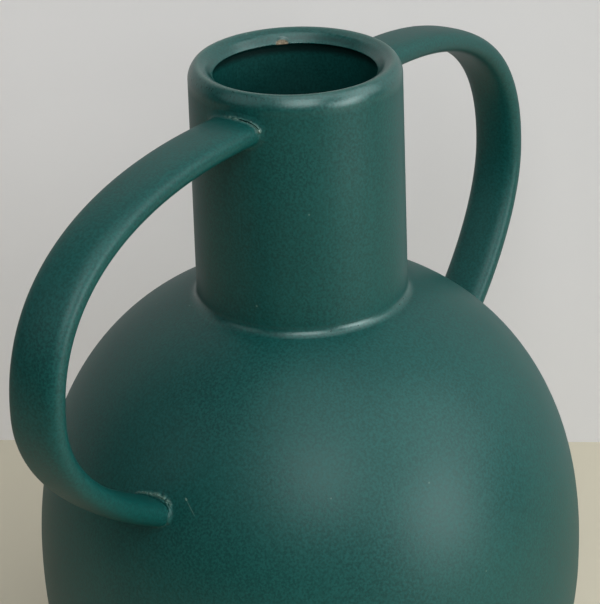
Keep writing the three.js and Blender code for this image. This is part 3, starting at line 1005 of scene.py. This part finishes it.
def pale_plaster(left, right):
    """A plain matt wall with painted shade that darkens it a little to the right, and that lets the eye
    through from behind.
    """
    material, tree, surface = new_material("pale_plaster")
    along = read_vector(tree, "ShaderNodeSeparateXYZ", object_place(tree), "Y")
    across = ramp(tree, along, WALL_FADE, -WALL_FADE)
    # Painted shade: blends to the darker colour toward the right
    colour = mix_colour(tree, across, left, right)
    dress(tree, surface, {"Base Color": colour, "Roughness": MATT})
    face = node(tree, "ShaderNodeNewGeometry")
    clear = node(tree, "ShaderNodeBsdfTransparent")
    mix = node(tree, "ShaderNodeMixShader")
    tree.links.new(face.outputs["Backfacing"], mix.inputs["Fac"])
    tree.links.new(surface.outputs["BSDF"], mix.inputs[1])
    tree.links.new(clear.outputs["BSDF"], mix.inputs[2])
    output = next(n for n in tree.nodes if n.type == "OUTPUT_MATERIAL")
    tree.links.new(mix.outputs["Shader"], output.inputs["Surface"])
    return material


def glaze_piece(piece, scene, *nodes):
    """Glaze a piece that stands for its nodes."""
    glaze = bpy.data.materials.get("satin_green_glaze")
    finish_piece(piece, glaze or satin_glaze(scene.vase_glaze, scene.vase_sizes), GREEN_SLOT, *nodes)


def leave_bare(piece, scene, *nodes):
    """Leave a piece that stands for its nodes in bare clay."""
    clay = bpy.data.materials.get("bare_buff_clay")
    finish_piece(piece, clay or bare_clay(scene.vase_glaze), CLAY_SLOT, *nodes)


class VASE_OT_turn_globe(bpy.types.Operator):
    """Turn the hollow globe with its flat floor"""

    bl_idname = "vase.turn_globe"
    bl_label = "Turn globe"

    def execute(self, context):
        sizes = context.scene.vase_sizes
        inner = sizes.globe_radius - sizes.globe_wall
        bore = sizes.neck_base_radius - sizes.neck_wall
        inner_lower = lower_half(sizes) - sizes.globe_wall
        floor_height = sizes.underside_height + sizes.floor_thickness
        drop = (sizes.belly_height - floor_height) / inner_lower
        floor_radius = inner * (1.0 - drop**sizes.fullness) ** (1.0 / sizes.fullness)
        outer = sizes.globe_radius
        low, high = OUTSIDE_STEPS
        outer_low = globe_arc(outer, -lower_half(sizes), sizes.underside_radius, low, sizes)
        outer_high = globe_arc(outer, upper_half(sizes), sizes.neck_base_radius, high, sizes)
        low, high = INSIDE_STEPS
        inner_high = globe_arc(inner, upper_half(sizes) - sizes.globe_wall, bore, high, sizes)
        inner_low = globe_arc(inner, -inner_lower, floor_radius, low, sizes)
        outline = [(0.0, sizes.underside_height), (sizes.foot_radius * 0.7, sizes.underside_height)]
        outline += outer_low[::-1] + outer_high[1:]
        outline += [(bore, sizes.seat_height)] + inner_high[::-1] + inner_low[1:]
        outline += [(floor_radius * 0.6, floor_height), (0.0, floor_height)]
        piece = turn_outline("globe", outline, sizes)
        soften_edges(piece, GLOBE_EDGE_ROUND)
        glaze_piece(piece, context.scene, "body")
        return {"FINISHED"}


class VASE_OT_turn_neck(bpy.types.Operator):
    """Turn the tapered neck with its bevelled lip"""

    bl_idname = "vase.turn_neck"
    bl_label = "Turn neck"

    def execute(self, context):
        sizes = context.scene.vase_sizes
        bore = (sizes.neck_base_radius - sizes.neck_wall, sizes.neck_foot_height)
        base = (sizes.neck_base_radius, sizes.neck_foot_height)
        edge = (sizes.neck_lip_radius, sizes.rim_height - sizes.lip_bevel_drop)
        wall_end = (edge[0], edge[1] - sizes.lip_round)
        crest = (edge[0] - sizes.lip_crest_inset, sizes.rim_height)
        crease = (crest[0] - sizes.lip_band, crest[1] - sizes.lip_band_drop)
        lip_bore = edge[0] - sizes.neck_wall
        throat = (lip_bore - sizes.lip_overhang, sizes.rim_height - sizes.lip_depth)
        wall_top = (lip_bore, throat[1] - sizes.lip_undercut)
        bevel = hollow_curve(wall_end, edge, crest, LIP_STEPS)[:-4]
        outline = straight(bore, base, 2) + straight(base, wall_end, 24) + bevel
        outline += soft_corner(bevel[-1], crest, crease, CREST_ROUND)
        outline += soft_corner(crest, crease, throat, CREASE_ROUND)
        edge_turn = soft_corner(crease, throat, wall_top, THROAT_ROUND)
        outline += straight(outline[-1], edge_turn[0], 7)[1:-1] + edge_turn
        outline += soft_corner(throat, wall_top, bore, BORE_ROUND)
        outline += straight(outline[-1], bore, 20)[1:] + [bore]
        piece = turn_outline("neck_tube", outline, sizes)
        self.dip_rim(piece, sizes)
        self.chip_lip(piece, sizes)
        glaze_piece(piece, context.scene, "neck")
        return {"FINISHED"}

    def dip_rim(self, piece, sizes):
        """Lean the lip a little, as a hand leaves it, easing off down the neck."""
        bpy.ops.object.mode_set(mode="EDIT")
        bpy.ops.mesh.select_mode(type="VERT")
        bpy.ops.mesh.select_all(action="DESELECT")
        lip = sizes.rim_height - 2.0 * sizes.lip_depth
        mesh = bmesh.from_edit_mesh(piece.data)
        for vert in mesh.verts:
            vert.select_set(vert.co.z > lip)
        bmesh.update_edit_mesh(piece.data)
        for axis, angle in zip("XY", sizes.rim_dip):
            bpy.ops.transform.rotate(
                value=angle,
                orient_axis=axis,
                center_override=(0.0, 0.0, sizes.rim_height),
                use_proportional_edit=True,
                proportional_size=RIM_DIP_REACH,
            )
        bpy.ops.object.mode_set(mode="OBJECT")

    def chip_lip(self, piece, sizes):
        """Press in the small chip on the lip's inner bevel."""
        bpy.ops.object.mode_set(mode="EDIT")
        bpy.ops.mesh.select_all(action="DESELECT")
        middle = Vector(sizes.chip_place)
        mesh = bmesh.from_edit_mesh(piece.data)
        vert = min(mesh.verts, key=lambda v: (v.co - middle).length)
        vert.select_set(True)
        press = -vert.normal * sizes.chip_depth
        bmesh.update_edit_mesh(piece.data)
        bpy.ops.transform.translate(
            value=press,
            use_proportional_edit=True,
            proportional_edit_falloff="SPHERE",
            proportional_size=sizes.chip_size[1],
        )
        bpy.ops.object.mode_set(mode="OBJECT")


class VASE_OT_lute_neck(bpy.types.Operator):
    """Lute the neck to the globe with a hollow fillet of slip"""

    bl_idname = "vase.lute_neck"
    bl_label = "Lute neck"

    def execute(self, context):
        sizes = context.scene.vase_sizes
        bore = sizes.neck_base_radius - sizes.neck_wall
        out = sizes.neck_base_radius + sizes.neck_fillet
        top = sizes.seat_height + sizes.neck_fillet
        foot = (out, globe_height(out, sizes) - FILLET_SINK)
        head = (neck_reach(top, sizes) - FILLET_SINK, top)
        tuck = sizes.neck_fillet / 3.0
        corner = (sizes.neck_base_radius, sizes.seat_height)
        outline = [
            (bore, sizes.seat_height),
            (sizes.neck_base_radius - tuck, sizes.seat_height),
            (out + tuck, globe_height(out + tuck, sizes) - tuck / 2.0),
        ]
        outline += hollow_curve(foot, corner, head, FILLET_STEPS)
        outline += [
            (neck_reach(top + tuck, sizes) - tuck / 2.0, top + tuck),
            (sizes.neck_base_radius - tuck, sizes.neck_foot_height),
            (bore, sizes.neck_foot_height),
            (bore - SLIP_BULGE, (sizes.neck_foot_height + sizes.seat_height) / 2.0),
            (bore, sizes.seat_height),
        ]
        piece = turn_outline("neck_fillet", outline, sizes)
        glaze_piece(piece, context.scene, "neck_slip")
        return {"FINISHED"}


class VASE_OT_turn_foot(bpy.types.Operator):
    """Turn the bare clay foot ring and the slip that holds it"""

    bl_idname = "vase.turn_foot"
    bl_label = "Turn foot"

    def execute(self, context):
        sizes = context.scene.vase_sizes
        inner = sizes.foot_radius - sizes.foot_width
        cut = sizes.foot_round
        outline = [
            (inner + cut, 0.0),
            (sizes.foot_radius - cut, 0.0),
            (sizes.foot_radius, cut),
            (sizes.foot_radius, sizes.foot_height),
            (inner, sizes.foot_height),
            (inner, cut),
            (inner + cut, 0.0),
        ]
        piece = turn_outline("foot_standing_ring", outline, sizes)
        soften_edges(piece, FOOT_EDGE_ROUND)
        leave_bare(piece, context.scene, "foot_ring")
        bead = (sizes.underside_height - sizes.foot_height) / 2.0
        middle = (sizes.underside_height + sizes.foot_height) / 2.0
        ends = ((sizes.foot_radius - bead, -90.0), (inner + bead, 90.0))
        outline = []
        for radius, first in ends:
            outline += half_ellipse((radius, middle), 2.0 * bead, bead, first)
        outline.append(outline[0])
        piece = turn_outline("foot_slip_bead", outline, sizes)
        leave_bare(piece, context.scene, "foot_slip")
        return {"FINISHED"}


class VASE_OT_pull_handles(bpy.types.Operator):
    """Pull the two strap handles from the neck to the shoulder"""

    bl_idname = "vase.pull_handles"
    bl_label = "Pull handles"

    def execute(self, context):
        sizes = context.scene.vase_sizes
        straps = context.scene.vase_straps
        for index, (name, side) in enumerate(SIDES):
            piece = pull_strap(name + "_strap", index, side, straps, sizes)
            glaze_piece(piece, context.scene, name + "_handle")
        return {"FINISHED"}


class VASE_OT_lute_handles(bpy.types.Operator):
    """Lute each strap's ends to the neck and the shoulder with a rough seam of slip"""

    bl_idname = "vase.lute_handles"
    bl_label = "Lute handles"

    def execute(self, context):
        sizes = context.scene.vase_sizes
        straps = context.scene.vase_straps
        for index, (name, side) in enumerate(SIDES):
            ends = strap_ends(index, straps, sizes)
            for end, place in zip(ends, ("neck", "shoulder")):
                rings = seam_rings(end, side, straps, sizes)
                piece = lute_seam(f"{name}_{place}_seam", rings)
                glaze_piece(piece, context.scene, f"{name}_handle_{place}_slip")
        return {"FINISHED"}


class VASE_OT_set_stage(bpy.types.Operator):
    """Set the floor, the wall, the lights and the camera"""

    bl_idname = "vase.set_stage"
    bl_label = "Set stage"

    def execute(self, context):
        look = context.scene.vase_stage
        camera = self.set_camera(context, look)
        ahead = Vector((-camera.location.x, -camera.location.y, 0.0)).normalized()
        facing = math.atan2(ahead.y, ahead.x) - look.wall_turn
        table = pale_table(look.floor_colour[:])
        plaster = pale_plaster(look.wall_colour[:], look.wall_shade[:])
        behind = Vector((math.cos(facing), math.sin(facing), 0.0)) * look.wall_distance
        floor = self.put_plane("table_top", table, FLOOR_SIZE, ORIGIN, (0.0, 0.0, facing))
        upright = (0.0, -math.pi / 2.0, facing)
        wall = self.put_plane("pale_wall", plaster, WALL_SIZE, behind, upright)
        self.set_lights(ahead)
        self.set_room_light(context.scene, look)
        context.scene.view_settings.view_transform = "Standard"
        return {"FINISHED"}

    def put_plane(self, name, material, size, place, turn):
        """Put up a plain square."""
        bpy.ops.object.select_all(action="DESELECT")
        bpy.ops.mesh.primitive_plane_add(size=size, location=place, rotation=turn)
        plane = bpy.context.active_object
        plane.name = name
        plane.data.materials.append(material)
        return plane

    def set_camera(self, context, look):
        """Put the camera at the viewing angle of the photograph."""
        bpy.ops.object.camera_add(location=look.camera_place, rotation=look.camera_turn)
        camera = context.active_object
        camera.name = "photo_camera"
        camera.data.sensor_width = SENSOR_WIDTH
        camera.data.lens = look.camera_lens
        camera.data.clip_start = NEAREST_SEEN
        context.scene.camera = camera
        return camera

    def set_lights(self, ahead):
        """Place the soft boxes round the vase."""
        aside = Vector((ahead.y, -ahead.x, 0.0))
        for name, across, above, size, power in LAMPS:
            turn = math.radians(across)
            lift = math.radians(above)
            level = aside * math.sin(turn) - ahead * math.cos(turn)
            way = level * math.cos(lift) + UP * math.sin(lift)
            bpy.ops.object.light_add(
                type="AREA",
                location=LAMP_AIM + way * LAMP_DISTANCE,
                rotation=way.to_track_quat("Z", "Y").to_euler(),
            )
            lamp = bpy.context.active_object
            lamp.name = name
            lamp.data.shape = "SQUARE"
            lamp.data.size = size
            lamp.data.energy = power
            lamp.data.spread = LAMP_SPREAD

    def set_room_light(self, scene, look):
        """Fill the room with weak even light."""
        world = bpy.data.worlds.new("pale_room")
        scene.world = world
        world.use_nodes = True
        light = world.node_tree.nodes["Background"]
        light.inputs["Color"].default_value = (1.0, 1.0, 1.0, 1.0)
        light.inputs["Strength"].default_value = look.sky


class VASE_PT_workbench(bpy.types.Panel):
    """Lists the steps that make the vase and the sizes that they use"""

    bl_idname = "VASE_PT_workbench"
    bl_label = "Amphora vase"
    bl_space_type = "VIEW_3D"
    bl_region_type = "UI"
    bl_category = "Vase"

    def draw(self, context):
        layout = self.layout
        for step in STEPS:
            layout.operator(step.bl_idname)
        for place, kind in GROUPS.items():
            box = layout.box()
            for name in kind.__annotations__:
                box.prop(getattr(context.scene, place), name)


GROUPS = {
    "vase_sizes": VaseSizes,
    "vase_straps": StrapSizes,
    "vase_glaze": GlazeLook,
    "vase_stage": StageLook,
}
STEPS = (
    VASE_OT_turn_globe,
    VASE_OT_turn_neck,
    VASE_OT_lute_neck,
    VASE_OT_turn_foot,
    VASE_OT_pull_handles,
    VASE_OT_lute_handles,
    VASE_OT_set_stage,
)


def register():
    for cls in (*GROUPS.values(), *STEPS, VASE_PT_workbench):
        bpy.utils.register_class(cls)
    for place, kind in GROUPS.items():
        setattr(bpy.types.Scene, place, PointerProperty(type=kind))


def unregister():
    for place in GROUPS:
        delattr(bpy.types.Scene, place)
    for cls in reversed((*GROUPS.values(), *STEPS, VASE_PT_workbench)):
        bpy.utils.unregister_class(cls)


def main():
    register()
    bpy.ops.vase.turn_globe()
    bpy.ops.vase.turn_neck()
    bpy.ops.vase.lute_neck()
    bpy.ops.vase.turn_foot()
    bpy.ops.vase.pull_handles()
    bpy.ops.vase.lute_handles()
    bpy.ops.vase.set_stage()


if __name__ == "__main__":
    main()
